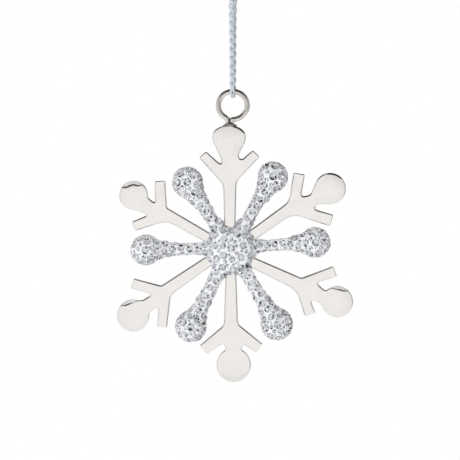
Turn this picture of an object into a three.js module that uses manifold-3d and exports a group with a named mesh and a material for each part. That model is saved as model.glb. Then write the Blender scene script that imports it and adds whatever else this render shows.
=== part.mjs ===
// A hanging snowflake ornament: six flat polished arms and a six-pointed star set with crystals,
// soldered round one hub, on a wire ring and a loop of knitted metallic cord.
// Millimetres. +Z is up and the front faces -Y. The origin is the hanging point, the inside top
// of the cord's loop, where a hook or a twig carries the ornament.
import * as THREE from 'three';
import { mergeVertices } from 'three/addons/utils/BufferGeometryUtils.js';
import Module from 'manifold-3d';

const wasm = await Module();
wasm.setup();

// ---- Driving dimensions -------------------------------------------------------------------

const GAP = 0.3; // left between two pieces that touch

// The flake lies in the XZ plane, its middle level with Y = 0, with this centre.
const HUB_X = -0.8;
const HUB_Z = -146.6;

// The hub is a turned slug with a slot for each flat arm and a hole for each rod.
const CORE_RADIUS = 8;
const CORE_THICKNESS = 6;
const SOCKET_START = 5.6; // how far from the centre the slots and holes start

// Flat arms: rounded plates, each with a thinner tang that enters its slot.
const PLATE_THICKNESS = 2;
const PLATE_BEVEL = 0.35;
const PLATE_START = 12.2; // where the full width begins, clear of the hub's coating
const TANG_WIDTH = 2.6;
const TANG_THICKNESS = 1.4;
const TANG_PULL = 0.35; // share of a stem's sideways offset that its tang keeps
const END_ROUND = 0.8; // corner radius of a branch's end
const CROTCH_ROUND = 1.7; // radius between a branch and the neck
const NECK_ROUND = 1.4; // radius between the neck and the lobe
const LOBE_STEPS = 16;

// Each arm has its own angle and proportions, as pieces bent and filed by hand have.
// offset: how far the stem's line passes to the left of the hub's centre, looking outward.
// stem: width at the hub and at the fork.
// lobe: its distance along the stem, its shift to the left, its half width and its tip's height.
// Each branch has the place of its fork, the turn of its near edge away from the stem, that
// edge's length, the width of its end, the turn of its far edge relative to the near one,
// the radius at the fork, how far from the stem's line the far edge ends (crotch), and the
// place where that side of the lobe begins (neck).
const ARMS = [
  {
    name: 'arm_top', angle: 90, offset: 0.5, stem: [5.0, 6.4],
    lobe: { at: 50.1, shift: 0.4, half: 7.6, tip: 5.1 },
    left: {
      fork: 28.5, turn: 42, length: 16.3, end: 4.3, flare: 6.5, round: 2.5,
      crotch: 4.2, neck: [39.2, 3.5],
    },
    right: {
      fork: 29.9, turn: 43, length: 15.2, end: 4.3, flare: 7, round: 2,
      crotch: 5, neck: [41.8, 3.8],
    },
  },
  {
    name: 'arm_upper_right', angle: 35.3, offset: -0.8, stem: [4.8, 5.9],
    lobe: { at: 51.8, shift: -3.2, half: 7.1, tip: 7.1 },
    left: {
      fork: 33.4, turn: 46, length: 13, end: 5.3, flare: -1, round: 3,
      crotch: 1.4, neck: [42.9, -0.3],
    },
    right: {
      fork: 31.4, turn: 53.2, length: 17.6, end: 5.4, flare: -1, round: 4,
      crotch: 6.6, neck: [43.1, 5.5],
    },
  },
  {
    name: 'arm_lower_right', angle: -25, offset: -1.75, stem: [4.6, 6.2],
    lobe: { at: 53.6, shift: 0, half: 7.1, tip: 7 },
    left: {
      fork: 34.4, turn: 45.6, length: 15.2, end: 5.2, flare: -4, round: 0.8,
      crotch: 3.8, neck: [46.6, 2.2],
    },
    right: {
      fork: 34.7, turn: 47.3, length: 12.4, end: 5.1, flare: -3, round: 4,
      crotch: 4.3, neck: [46.8, 3.7],
    },
  },
  {
    name: 'arm_bottom', angle: -90, offset: 0, stem: [4.7, 6.6],
    lobe: { at: 52.6, shift: 1.2, half: 7.75, tip: 7.7 },
    left: {
      fork: 34.1, turn: 51, length: 14.4, end: 5, flare: 6, round: 1.5,
      crotch: 5.6, neck: [45.6, 4.7],
    },
    right: {
      fork: 34.6, turn: 50, length: 14.4, end: 5.2, flare: 6, round: 1.5,
      crotch: 3.4, neck: [45.6, 2.3],
    },
  },
  {
    name: 'arm_lower_left', angle: 214.5, offset: -0.85, stem: [4.7, 6.1],
    lobe: { at: 53.6, shift: 1, half: 7.3, tip: 7.1 },
    left: {
      fork: 34.3, turn: 49, length: 14.9, end: 4.5, flare: 3, round: 2,
      crotch: 4.3, neck: [46.5, 3.9],
    },
    right: {
      fork: 35.4, turn: 49.6, length: 12.9, end: 4.9, flare: 0, round: 0.8,
      crotch: 2.2, neck: [46.3, 2.3],
    },
  },
  {
    name: 'arm_upper_left', angle: 150.4, offset: 1.05, stem: [4.6, 5.4],
    lobe: { at: 49.8, shift: 0, half: 6.5, tip: 6.5 },
    left: {
      fork: 31.2, turn: 47.3, length: 15, end: 4.4, flare: 5.5, round: 4,
      crotch: 4.5, neck: [43.8, 5.1],
    },
    right: {
      fork: 34, turn: 57, length: 12.1, end: 4.9, flare: 1.8, round: 0.8,
      crotch: 1.7, neck: [43.6, 2.3],
    },
  },
];

// Star points: a rod from the hub to a ball, both inside a coating that holds the crystals.
// reach: from the hub's centre to the ball's. radius: of the coated ball. neck: radius of the
// coated arm. flare: where the arm leaves the ball, as a share of its radius.
const STAR = [
  { place: 'upper_left', angle: 123.5, reach: 35.4, radius: 7.2, neck: 2.75, flare: 0.53 },
  { place: 'upper_right', angle: 59.6, reach: 37.1, radius: 7.1, neck: 2.8, flare: 0.58 },
  { place: 'right', angle: 3.9, reach: 37.9, radius: 7.1, neck: 2.6, flare: 0.6 },
  { place: 'lower_right', angle: -58.9, reach: 39.9, radius: 7.5, neck: 2.9, flare: 0.58 },
  { place: 'lower_left', angle: 242.9, reach: 39.5, radius: 7.3, neck: 3.2, flare: 0.6 },
  { place: 'left', angle: 181.3, reach: 38.3, radius: 7.1, neck: 2.7, flare: 0.6 },
];
const ROD_RADIUS = 1.2;
const COAT_WALL = 1.6; // over the ball
const COAT_ROOT = 0.5; // added to the neck where it meets the hub's coating
const ROUND_SIDES = 16; // facets round a coated piece
const BALL_STEPS = 8; // facets from its neck to its tip

// The hub's coating: a mound on each face, parted by the plane of the plates.
const MOUND_RADIUS = 11.9;
const MOUND_HEIGHT = 6.6;
const MOUND_FLAT = 11; // from the centre to the flat that each star point's coating meets

// A larger crystal crowns the front of the hub and of each ball.
const CROWN_RADIUS = 1.7;
const CROWN_TABLE = 0.9;
const CROWN_HEIGHT = 0.7;
const CROWN_GIRDLE = 0.15;
const CROWN_GAP = 0.15;

// The hanger: one wire bent to a ring, its two tapered ends turned down side by side and
// soldered to the top lobe. Distances are from the hub's centre, X from the hanging line.
const WIRE_RADIUS = 1.2;
const RING_HALF = { x: 6.5, y: 6.3 };
const RING_RISE = 64.1;
const RING_LEAVES = { left: 31, right: 4 }; // degrees from the lowest point to each turned end
const RING_ENDS = {
  left: [[-2.6, 58], [-2.38, 57], [-2.32, 56.3]],
  right: [[-0.3, 57.7], [-0.64, 57], [-0.68, 56.3]],
};
const END_TAPER = 0.66; // an end's radius over the wire's
const TAPER_LENGTH = 3;
const RING_SIDES = 10;
const RING_STEPS = 56;
const CIRCLE_STEPS = 20; // of the ring's guide points
const SOLDER_PLACE = { x: -1.4, y: 55.8 };
const SOLDER_HALF = { x: 2.6, z: 0.45, y: 1.35 };

// The cord: one length, doubled through the ring and tied above the hook in an overhand knot.
const CORD_RADIUS = 1.2;
const CORD_STEP = 6; // length of one facet along the cord
const CUT_LOOP = -13; // the loop's top turns with the knot down to here
const CUT_GAP = 0.6;
const BIGHT_RISE = RING_RISE + RING_HALF.y + HUB_Z; // height of the ring's top wire
const FLAT_RADIUS = 0.7; // of the cord's solid where it is pressed flat on the ring
const BIGHT_RADIUS = WIRE_RADIUS + FLAT_RADIUS + 0.2;
const KNOT_CENTRE = 9.5;
const KNOT_HALF = { x: 5.4, y: 3.4, z: 6.3 };

// One strand, from the knot past the hook and down the front to the bottom of the bight.
// The other strand is the same, turned half a turn about Z.
const STRAND = [
  [-1.3, 0, 2.8],
  [-1.5, 0, 1.3],
  [-2.3, 0, -0.4],
  [-2.7, 0, -2.2],
  [-2.5, 0, -5],
  [-2, -0.1, -9],
  [-1.75, -0.2, -13],
  [-1.4, -0.6, -20],
  [-1, -0.95, -28],
  [-0.65, -1.15, -36],
  [-0.45, -1.35, -46],
  [-0.35, -1.5, -56],
  [-0.25, -1.8, -66],
  [-0.2, -2, -72.5],
  [-0.2, -BIGHT_RADIUS, BIGHT_RISE],
  [-0.12, -BIGHT_RADIUS * Math.SQRT1_2, BIGHT_RISE - BIGHT_RADIUS * Math.SQRT1_2],
  [0, 0, BIGHT_RISE - BIGHT_RADIUS],
];
const TAIL = [
  [-1.3, 0, 16.2],
  [-1.35, 0, 18.6],
  [-1.9, -0.3, 20.8],
  [-2.8, -0.4, 22.6],
];

// ---- Materials ----------------------------------------------------------------------------

const finish = (color, roughness, metalness) => ({ color, roughness, metalness });
const NICKEL = finish(0xd9d6d3, 0.12, 1);
const WIRE = finish(0xa8a6a2, 0.22, 1);
const SOLDER = finish(0x6f6b66, 0.5, 1);
const BRASS = finish(0xb08d4a, 0.4, 1);
const PUTTY = finish(0xd3d9e4, 0.45, 0.1);
const CRYSTAL = finish(0xf2f5fa, 0.03, 0);
const CORD = finish(0xb9c2cd, 0.5, 0.4);

function named(name, geometry, look) {
  const mesh = new THREE.Mesh(geometry, new THREE.MeshStandardMaterial(look));
  mesh.name = name;
  return mesh;
}

// ---- Solids -------------------------------------------------------------------------------

const radians = THREE.MathUtils.degToRad;

function toSolid(geometry) {
  const bare = geometry.clone();
  bare.deleteAttribute('normal');
  bare.deleteAttribute('uv');
  const merged = mergeVertices(bare, 1e-4);
  const corners = merged.index.array;
  const kept = [];
  for (let i = 0; i < corners.length; i += 3) {
    const [a, b, c] = [corners[i], corners[i + 1], corners[i + 2]];
    if (a !== b && b !== c && c !== a) kept.push(a, b, c);
  }
  return new wasm.Manifold(new wasm.Mesh({
    numProp: 3,
    vertProperties: new Float32Array(merged.attributes.position.array),
    triVerts: new Uint32Array(kept),
  }));
}

function toGeometry(solid) {
  const mesh = solid.getMesh();
  const geometry = new THREE.BufferGeometry();
  geometry.setAttribute('position', new THREE.BufferAttribute(mesh.vertProperties, 3));
  geometry.setIndex(new THREE.BufferAttribute(mesh.triVerts, 1));
  return geometry;
}

// A cylinder along X from one distance to another.
function bar(radius, from, to, sides) {
  const geometry = new THREE.CylinderGeometry(radius, radius, to - from, sides);
  geometry.rotateZ(-Math.PI / 2);
  geometry.translate((from + to) / 2, 0, 0);
  return geometry;
}

// A box along X from one distance to another, centred on the given Y.
function strip(from, to, width, thickness, y = 0) {
  const geometry = new THREE.BoxGeometry(to - from, width, thickness);
  geometry.translate((from + to) / 2, y, 0);
  return geometry;
}

// A body turned about X from a closed profile of [distance along X, radius] points.
function turned(profile, sides) {
  const points = profile.map(([along, radius]) => new THREE.Vector2(radius, along));
  const geometry = new THREE.LatheGeometry(points, sides);
  geometry.rotateZ(-Math.PI / 2);
  return geometry;
}

function scaledSphere(half, sides, rings) {
  const geometry = new THREE.SphereGeometry(1, sides, rings);
  geometry.scale(half.x, half.y, half.z);
  return geometry;
}

// A closed tube of round section along a curve.
function tube(curve, radius, sides, steps) {
  const section = new THREE.Shape();
  for (let i = 0; i < sides; i += 1) {
    const turn = (2 * Math.PI * i) / sides;
    const [x, y] = [radius * Math.cos(turn), radius * Math.sin(turn)];
    if (i === 0) section.moveTo(x, y);
    else section.lineTo(x, y);
  }
  section.closePath();
  return new THREE.ExtrudeGeometry(section, { extrudePath: curve, steps, curveSegments: 1 });
}

// ---- Flat arms ----------------------------------------------------------------------------

// A closed outline through corners of [x, y, radius], each rounded by its radius.
function roundedOutline(corners) {
  const shape = new THREE.Shape();
  corners.forEach(([x, y, radius], i) => {
    const here = new THREE.Vector2(x, y);
    const towards = (other) => {
      const reach = new THREE.Vector2(other[0], other[1]).sub(here);
      const limit = Math.min(radius, reach.length() * 0.45);
      return reach.setLength(limit).add(here);
    };
    const entry = towards(corners[(i + corners.length - 1) % corners.length]);
    const exit = towards(corners[(i + 1) % corners.length]);
    if (i === 0) shape.moveTo(entry.x, entry.y);
    else shape.lineTo(entry.x, entry.y);
    if (radius > 0) shape.quadraticCurveTo(x, y, exit.x, exit.y);
  });
  shape.closePath();
  return shape;
}

// One side's corners from the hub outward. side is 1 on the left and -1 on the right.
function sideCorners(arm, branch, side) {
  const near = radians(branch.turn);
  const far = radians(branch.turn + branch.flare);
  const spread = (branch.fork - PLATE_START) / (arm.lobe.at - PLATE_START) / 0.6;
  const halfFork = THREE.MathUtils.lerp(arm.stem[0], arm.stem[1], Math.min(spread, 1)) / 2;
  const fork = [branch.fork, halfFork];
  const outer = [
    fork[0] + branch.length * Math.cos(near),
    fork[1] + branch.length * Math.sin(near),
  ];
  const inner = [
    outer[0] + branch.end * Math.sin(near),
    outer[1] - branch.end * Math.cos(near),
  ];
  const crotch = [inner[0] - (inner[1] - branch.crotch) / Math.tan(far), branch.crotch];
  return [
    [PLATE_START, arm.stem[0] / 2, 0],
    [...fork, branch.round],
    [...outer, END_ROUND],
    [...inner, END_ROUND],
    [...crotch, CROTCH_ROUND],
    [...branch.neck, NECK_ROUND],
  ].map(([x, y, radius]) => [x, side * y, radius]);
}

// Points round the lobe, from the tangent out of the right neck corner to that out of the left.
function lobeCorners({ lobe }, rightNeck, leftNeck) {
  const tangentTurn = ([x, y], side) => {
    const [along, across] = [x - lobe.at, side * (y - lobe.shift)];
    const distance = Math.hypot(along, across);
    return Math.atan2(across, along) - Math.acos(Math.min(1, lobe.half / distance));
  };
  const first = -tangentTurn(rightNeck, -1);
  const last = tangentTurn(leftNeck, 1);
  const points = [];
  for (let i = 0; i <= LOBE_STEPS; i += 1) {
    const turn = THREE.MathUtils.lerp(first, last, i / LOBE_STEPS);
    const along = Math.cos(turn) > 0 ? lobe.tip : lobe.half;
    points.push([lobe.at + along * Math.cos(turn), lobe.shift + lobe.half * Math.sin(turn), 0]);
  }
  return points;
}

function armGeometry(arm) {
  const right = sideCorners(arm, arm.right, -1);
  const left = sideCorners(arm, arm.left, 1);
  const lobe = lobeCorners(arm, right.at(-1), left.at(-1));
  const plate = new THREE.ExtrudeGeometry(roundedOutline([...right, ...lobe, ...left.reverse()]), {
    depth: PLATE_THICKNESS - 2 * PLATE_BEVEL,
    bevelThickness: PLATE_BEVEL,
    bevelSize: PLATE_BEVEL,
    bevelOffset: -PLATE_BEVEL,
    bevelSegments: 1,
    curveSegments: 3,
  });
  plate.translate(0, arm.offset, PLATE_BEVEL - PLATE_THICKNESS / 2);
  const tang = strip(SOCKET_START + GAP, PLATE_START + 1, TANG_WIDTH, TANG_THICKNESS,
    arm.offset * TANG_PULL);
  return toGeometry(toSolid(plate).add(toSolid(tang)));
}

// The space that an arm's tang and stem take near the hub, with the gap round them.
function tangClearance(arm) {
  const slot = strip(SOCKET_START, PLATE_START, TANG_WIDTH + 2 * GAP, TANG_THICKNESS + 2 * GAP,
    arm.offset * TANG_PULL);
  return toSolid(slot.rotateZ(radians(arm.angle)));
}

function stemClearance(arm) {
  const start = PLATE_START - GAP;
  const box = strip(start, start + 8, arm.stem[0] + 1 + 2 * GAP, PLATE_THICKNESS + 2 * GAP, arm.offset);
  return toSolid(box.rotateZ(radians(arm.angle)));
}

// ---- Star points --------------------------------------------------------------------------

function rodGeometry(point) {
  const end = point.reach - (point.radius - COAT_WALL) - GAP;
  return bar(ROD_RADIUS, SOCKET_START + GAP, end, 10);
}

function rodClearance(point, to) {
  return toSolid(bar(ROD_RADIUS + GAP, SOCKET_START, to, 10).rotateZ(radians(point.angle)));
}

function ballGeometry(point) {
  const radius = point.radius - COAT_WALL - GAP;
  const geometry = new THREE.SphereGeometry(radius, 12, 8);
  geometry.translate(point.reach, 0, 0);
  return geometry;
}

// A sleeve along the rod that widens into a ball, open towards the hub.
function coatGeometry(point) {
  const { reach, radius, neck, flare } = point;
  const inside = radius - COAT_WALL;
  const bore = ROD_RADIUS + GAP;
  const start = MOUND_FLAT + GAP;
  const leaves = flare * radius;
  const leavesRadius = Math.sqrt(radius ** 2 - leaves ** 2);
  const fade = ((leavesRadius - neck) * leavesRadius) / leaves;
  const outer = [[start, neck + COAT_ROOT], [start + 3, neck + 0.1]];
  for (const beyond of [8, 5, 3, 1.5]) {
    const added = (leavesRadius - neck) * Math.exp(-beyond / fade);
    outer.push([reach - leaves - beyond, neck + added]);
  }
  for (let i = 0; i <= BALL_STEPS; i += 1) {
    const turn = THREE.MathUtils.lerp(Math.acos(flare), Math.PI, i / BALL_STEPS);
    outer.push([reach - radius * Math.cos(turn), radius * Math.sin(turn)]);
  }
  const inner = [];
  const mouth = Math.asin(bore / inside);
  for (let i = 0; i <= BALL_STEPS; i += 1) {
    const turn = THREE.MathUtils.lerp(Math.PI, mouth, i / BALL_STEPS);
    inner.push([reach - inside * Math.cos(turn), inside * Math.sin(turn)]);
  }
  const profile = [...outer, ...inner, [start, bore], [start, neck + COAT_ROOT]];
  const neighbours = ARMS.map((arm) => stemClearance({ ...arm, angle: arm.angle - point.angle }));
  let solid = toSolid(turned(profile, ROUND_SIDES));
  for (const stem of neighbours) solid = solid.subtract(stem);
  return toGeometry(solid);
}

// ---- Hub ----------------------------------------------------------------------------------

// A cylinder along the flake's own Z, which is the ornament's front-to-back direction.
function disc(radius, thickness, sides) {
  return new THREE.CylinderGeometry(radius, radius, thickness, sides).rotateX(Math.PI / 2);
}

function coreGeometry() {
  let core = toSolid(disc(CORE_RADIUS, CORE_THICKNESS, 24));
  for (const arm of ARMS) core = core.subtract(tangClearance(arm));
  for (const point of STAR) core = core.subtract(rodClearance(point, MOUND_RADIUS));
  return toGeometry(core);
}

// The mound on one face. face is 1 for the front and -1 for the back.
function moundGeometry(face) {
  const profile = [[0, 0], [MOUND_RADIUS, 0]];
  for (let i = 1; i <= 6; i += 1) {
    const turn = (i * Math.PI) / 12;
    profile.push([MOUND_RADIUS * Math.cos(turn) ** 0.7, MOUND_HEIGHT * Math.sin(turn) ** 0.85]);
  }
  profile[profile.length - 1][0] = 0;
  const lathe = new THREE.LatheGeometry(profile.map(([x, y]) => new THREE.Vector2(x, y)), 24);
  let mound = toSolid(lathe.rotateX((face * Math.PI) / 2));
  mound = mound.subtract(toSolid(disc(CORE_RADIUS + GAP, CORE_THICKNESS + 2 * GAP, 24)));
  mound = mound.subtract(toSolid(disc(MOUND_RADIUS + 1, GAP, 24)));
  for (const arm of ARMS) mound = mound.subtract(tangClearance(arm));
  for (const point of STAR) {
    mound = mound.subtract(rodClearance(point, MOUND_RADIUS + 1));
    const beyond = strip(MOUND_FLAT, MOUND_FLAT + 4, 12, 20);
    mound = mound.subtract(toSolid(beyond.rotateZ(radians(point.angle))));
  }
  return toGeometry(mound);
}

// ---- Crowning crystals --------------------------------------------------------------------

// A cut stone lying in the flake's plane at the given place, its back level with the height.
function crownGeometry(x, height) {
  const base = height + CROWN_GAP;
  const profile = [[0, base], [CROWN_RADIUS, base], [CROWN_RADIUS, base + CROWN_GIRDLE]];
  profile.push([CROWN_TABLE, base + CROWN_HEIGHT], [0, base + CROWN_HEIGHT]);
  const geometry = new THREE.LatheGeometry(profile.map(([r, z]) => new THREE.Vector2(r, z)), 8);
  geometry.rotateX(Math.PI / 2);
  geometry.translate(x, 0, 0);
  return geometry;
}

// ---- Hanger -------------------------------------------------------------------------------

// A closed tube along a curve in the XY plane, its radius a function of the share travelled.
function flatTube(curve, radiusAt, sides, steps) {
  const corners = [];
  const triangles = [];
  for (let i = 0; i <= steps; i += 1) {
    const centre = curve.getPointAt(i / steps);
    const run = curve.getTangentAt(i / steps);
    for (let j = 0; j < sides; j += 1) {
      const turn = (2 * Math.PI * j) / sides;
      const across = radiusAt(i / steps) * Math.cos(turn);
      const lift = radiusAt(i / steps) * Math.sin(turn);
      corners.push(centre.x - run.y * across, centre.y + run.x * across, lift);
      const [a, b] = [i * sides + j, i * sides + ((j + 1) % sides)];
      if (i < steps) triangles.push(a, b, a + sides, b, b + sides, a + sides);
      if (j > 1) {
        const last = steps * sides;
        if (i === 0) triangles.push(0, j, j - 1);
        if (i === steps) triangles.push(last, last + j - 1, last + j);
      }
    }
  }
  const geometry = new THREE.BufferGeometry();
  geometry.setAttribute('position', new THREE.Float32BufferAttribute(corners, 3));
  geometry.setIndex(triangles);
  return geometry;
}

function ringGeometry() {
  const points = RING_ENDS.left.map(([x, y]) => new THREE.Vector3(x, y, 0)).reverse();
  const [from, sweep] = [-90 - RING_LEAVES.left, 360 - RING_LEAVES.left - RING_LEAVES.right];
  for (let i = 0; i <= CIRCLE_STEPS; i += 1) {
    const turn = radians(from - (i / CIRCLE_STEPS) * sweep);
    const [x, y] = [RING_HALF.x * Math.cos(turn), RING_HALF.y * Math.sin(turn)];
    points.push(new THREE.Vector3(x, RING_RISE + y, 0));
  }
  points.push(...RING_ENDS.right.map(([x, y]) => new THREE.Vector3(x, y, 0)));
  const curve = new THREE.CatmullRomCurve3(points);
  const length = curve.getLength();
  const radiusAt = (share) => {
    const fromEnd = Math.min(share, 1 - share) * length;
    return WIRE_RADIUS * THREE.MathUtils.lerp(END_TAPER, 1, Math.min(fromEnd / TAPER_LENGTH, 1));
  };
  const geometry = flatTube(curve, radiusAt, RING_SIDES, RING_STEPS);
  geometry.translate(-HUB_X, 0, 0);
  return geometry;
}

function solderGeometry() {
  const half = { x: SOLDER_HALF.x, y: SOLDER_HALF.z, z: SOLDER_HALF.y };
  const geometry = scaledSphere(half, 12, 6);
  geometry.translate(SOLDER_PLACE.x - HUB_X, SOLDER_PLACE.y, 0);
  return geometry;
}

// ---- Cord ---------------------------------------------------------------------------------

const vector = ([x, y, z]) => new THREE.Vector3(x, y, z);
const halfTurn = ([x, y, z]) => [-x, -y, z];

// The part of a falling curve between two heights, as a curve of its own.
function between(curve, top, bottom) {
  const parameterAt = (height) => {
    let [low, high] = [0, 1];
    for (let i = 0; i < 40; i += 1) {
      const middle = (low + high) / 2;
      if (curve.getPointAt(middle).z > height) low = middle;
      else high = middle;
    }
    return low;
  };
  const [from, to] = [parameterAt(top), parameterAt(bottom)];
  const count = Math.max(4, Math.round(((to - from) * curve.getLength()) / CORD_STEP));
  const points = [];
  for (let i = 0; i <= count; i += 1) {
    points.push(curve.getPointAt(THREE.MathUtils.lerp(from, to, i / count)));
  }
  return new THREE.CatmullRomCurve3(points);
}

function cordMeshes() {
  const meshes = [];
  const strandCurve = (turn) => new THREE.CatmullRomCurve3(turn(STRAND).map(vector));
  const asIs = (list) => list;
  const wireTop = BIGHT_RISE + WIRE_RADIUS;
  const add = (name, curve, steps) => {
    meshes.push(named(name, tube(curve, CORD_RADIUS, 8, steps), CORD));
  };
  const pairs = [
    { turn: asIs, loop: 'cord_loop_left', strand: 'cord_strand_front', tail: 'cord_tail_left' },
    {
      turn: (list) => list.map(halfTurn),
      loop: 'cord_loop_right',
      strand: 'cord_strand_back',
      tail: 'cord_tail_right',
    },
  ];
  for (const { turn, loop, strand, tail } of pairs) {
    const curve = strandCurve(turn);
    add(loop, between(curve, STRAND[0][2], CUT_LOOP + CUT_GAP / 2), 6);
    add(strand, between(curve, CUT_LOOP - CUT_GAP / 2, wireTop + GAP), 12);
    add(tail, new THREE.CatmullRomCurve3(turn(TAIL).map(vector)), 4);
  }
  const down = between(strandCurve(asIs), wireTop, -Infinity).points;
  const up = down.slice(0, -1).reverse().map(({ x, y, z }) => new THREE.Vector3(-x, -y, z));
  const bight = tube(new THREE.CatmullRomCurve3([...down, ...up]), FLAT_RADIUS, 8, 8);
  meshes.push(named('cord_bight', bight, CORD));
  const knot = scaledSphere(KNOT_HALF, 12, 8);
  knot.translate(0, 0, KNOT_CENTRE);
  meshes.push(named('cord_knot', knot, CORD));
  return meshes;
}

// ---- Assembly -----------------------------------------------------------------------------

const ornament = new THREE.Group();

// In the flake's own frame X is to the right, Y is up and Z is towards the front.
const flake = new THREE.Group();
flake.position.set(HUB_X, 0, HUB_Z);
flake.rotation.x = Math.PI / 2;
ornament.add(flake);

function addToFlake(name, geometry, look, angle = 0) {
  const mesh = named(name, geometry, look);
  mesh.rotation.z = radians(angle);
  flake.add(mesh);
}

addToFlake('hub_core', coreGeometry(), BRASS);
addToFlake('hub_coat_front', moundGeometry(1), PUTTY);
addToFlake('hub_coat_back', moundGeometry(-1), PUTTY);
addToFlake('crystal_hub', crownGeometry(0, MOUND_HEIGHT), CRYSTAL);
for (const arm of ARMS) addToFlake(arm.name, armGeometry(arm), NICKEL, arm.angle);
for (const point of STAR) {
  const { place, angle, reach, radius } = point;
  addToFlake(`star_rod_${place}`, rodGeometry(point), BRASS, angle);
  addToFlake(`star_ball_${place}`, ballGeometry(point), BRASS, angle);
  addToFlake(`star_coat_${place}`, coatGeometry(point), PUTTY, angle);
  addToFlake(`crystal_${place}`, crownGeometry(reach, radius), CRYSTAL, angle);
}
addToFlake('hanger_ring', ringGeometry(), WIRE);
addToFlake('hanger_solder', solderGeometry(), SOLDER);
ornament.add(...cordMeshes());

export default ornament;
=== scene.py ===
"""Looks for the hanging snowflake ornament: polished nickel arms, a star of putty set with
crystals, a wire ring and a loop of braided metallic cord. Metres, in the CAD model's frame:
+Z is up, the front faces -Y, and the origin is the inside top of the cord's loop."""
import random
from collections import namedtuple
from math import (acos, atan2, ceil, cos, degrees, exp, hypot, pi, radians, sin, sqrt, tan, tau)

import bpy
import numpy as np
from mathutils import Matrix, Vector, geometry, kdtree, noise


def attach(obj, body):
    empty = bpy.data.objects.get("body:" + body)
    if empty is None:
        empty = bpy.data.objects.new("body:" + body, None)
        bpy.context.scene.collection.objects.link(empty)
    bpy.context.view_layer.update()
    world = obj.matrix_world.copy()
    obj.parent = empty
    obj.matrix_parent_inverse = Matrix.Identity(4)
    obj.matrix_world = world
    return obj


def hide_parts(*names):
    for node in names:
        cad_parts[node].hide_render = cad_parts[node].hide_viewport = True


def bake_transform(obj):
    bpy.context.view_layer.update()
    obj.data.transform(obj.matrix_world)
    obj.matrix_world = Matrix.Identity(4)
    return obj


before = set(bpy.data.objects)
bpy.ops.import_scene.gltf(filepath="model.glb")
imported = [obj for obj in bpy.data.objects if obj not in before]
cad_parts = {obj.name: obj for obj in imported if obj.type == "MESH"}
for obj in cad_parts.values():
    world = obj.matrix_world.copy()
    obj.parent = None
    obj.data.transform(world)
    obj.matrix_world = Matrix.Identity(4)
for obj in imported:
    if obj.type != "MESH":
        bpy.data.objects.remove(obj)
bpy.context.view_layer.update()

FRONT = Vector((0, -1, 0))


def add_object(name, data):
    thing = bpy.data.objects.new(name, data)
    bpy.context.scene.collection.objects.link(thing)
    return thing


# ---- Camera ----

VIEW_X = -0.00125
VIEW_Z = -0.1385
VIEW_DISTANCE = 0.776
LENS = 135  # mm
SENSOR_WIDTH = 36  # mm


def make_camera():
    camera = add_object("camera", bpy.data.cameras.new("camera"))
    camera.data.lens = LENS
    camera.data.sensor_width = SENSOR_WIDTH
    camera.data.clip_start = 0.01
    camera.location = (VIEW_X, -VIEW_DISTANCE, VIEW_Z)
    camera.rotation_euler = (pi / 2, 0, 0)
    bpy.context.scene.camera = camera


# ---- Small tools ----

CURVE_STEPS = 24  # from one point of a curve to the next, before they are made even


def lerp(a, b, t):
    return a + (b - a) * t


def smoothstep(low, high, value):
    t = np.clip((value - low) / (high - low), 0, 1)
    return t * t * (3 - 2 * t)


def add_mesh(name, points, faces, materials, replaced, face_materials=None, smooth=True,
             body="snowflake"):
    """One visible piece, riding a body, that stands for the CAD nodes it replaces."""
    mesh = bpy.data.meshes.new(name)
    mesh.from_pydata([tuple(p) for p in points], [], faces)
    for material in materials:
        mesh.materials.append(material)
    if face_materials is not None:
        mesh.polygons.foreach_set("material_index", face_materials)
    mesh.polygons.foreach_set("use_smooth", [smooth] * len(mesh.polygons))
    mesh.update()
    piece = add_object(name, mesh)
    if body:
        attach(piece, body)
    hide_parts(*replaced)
    return piece


def catmull_rom(points, step):
    """A smooth open curve through the points, at about even steps."""
    points = [Vector(p) for p in points]
    ends = [2 * points[0] - points[1], *points, 2 * points[-1] - points[-2]]
    fine = []
    for a, b, c, d in zip(ends, ends[1:], ends[2:], ends[3:]):
        for i in range(CURVE_STEPS):
            t = i / CURVE_STEPS
            fine.append(0.5 * (2 * b + (c - a) * t + (2 * a - 5 * b + 4 * c - d) * t * t
                               + (3 * b - a - 3 * c + d) * t ** 3))
    fine.append(points[-1])
    return even_steps(fine, step)


def even_steps(points, step):
    array = np.array([tuple(p) for p in points])
    along = np.concatenate([[0], np.cumsum(np.linalg.norm(np.diff(array, axis=0), axis=1))])
    count = max(2, round(along[-1] / step))
    wanted = np.linspace(0, along[-1], count + 1)
    return np.stack([np.interp(wanted, along, array[:, k]) for k in range(3)], axis=1)


def length_of(points):
    return float(np.linalg.norm(np.diff(np.array(points), axis=0), axis=1).sum())


def unit_rows(rows):
    """The rows as unit vectors."""
    return rows / np.linalg.norm(rows, axis=1, keepdims=True)


def frames_along(path, first_side):
    """Two unit side vectors at every point of a path, without twist."""
    tangents = unit_rows(np.gradient(path, axis=0))
    sides = np.zeros_like(path)
    side = np.array(first_side, float)
    for i, tangent in enumerate(tangents):
        side = side - tangent * (side @ tangent)
        side /= np.linalg.norm(side)
        sides[i] = side
    return sides, np.cross(tangents, sides)


def tube_faces(rings, sides, offset):
    faces = []
    for i in range(rings - 1):
        for j in range(sides):
            k = (j + 1) % sides
            a, b = offset + i * sides, offset + (i + 1) * sides
            faces.append((a + j, a + k, b + k, b + j))
    faces.append(tuple(offset + j for j in reversed(range(sides))))
    faces.append(tuple(offset + (rings - 1) * sides + j for j in range(sides)))
    return faces


# ---- Materials ----

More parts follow.
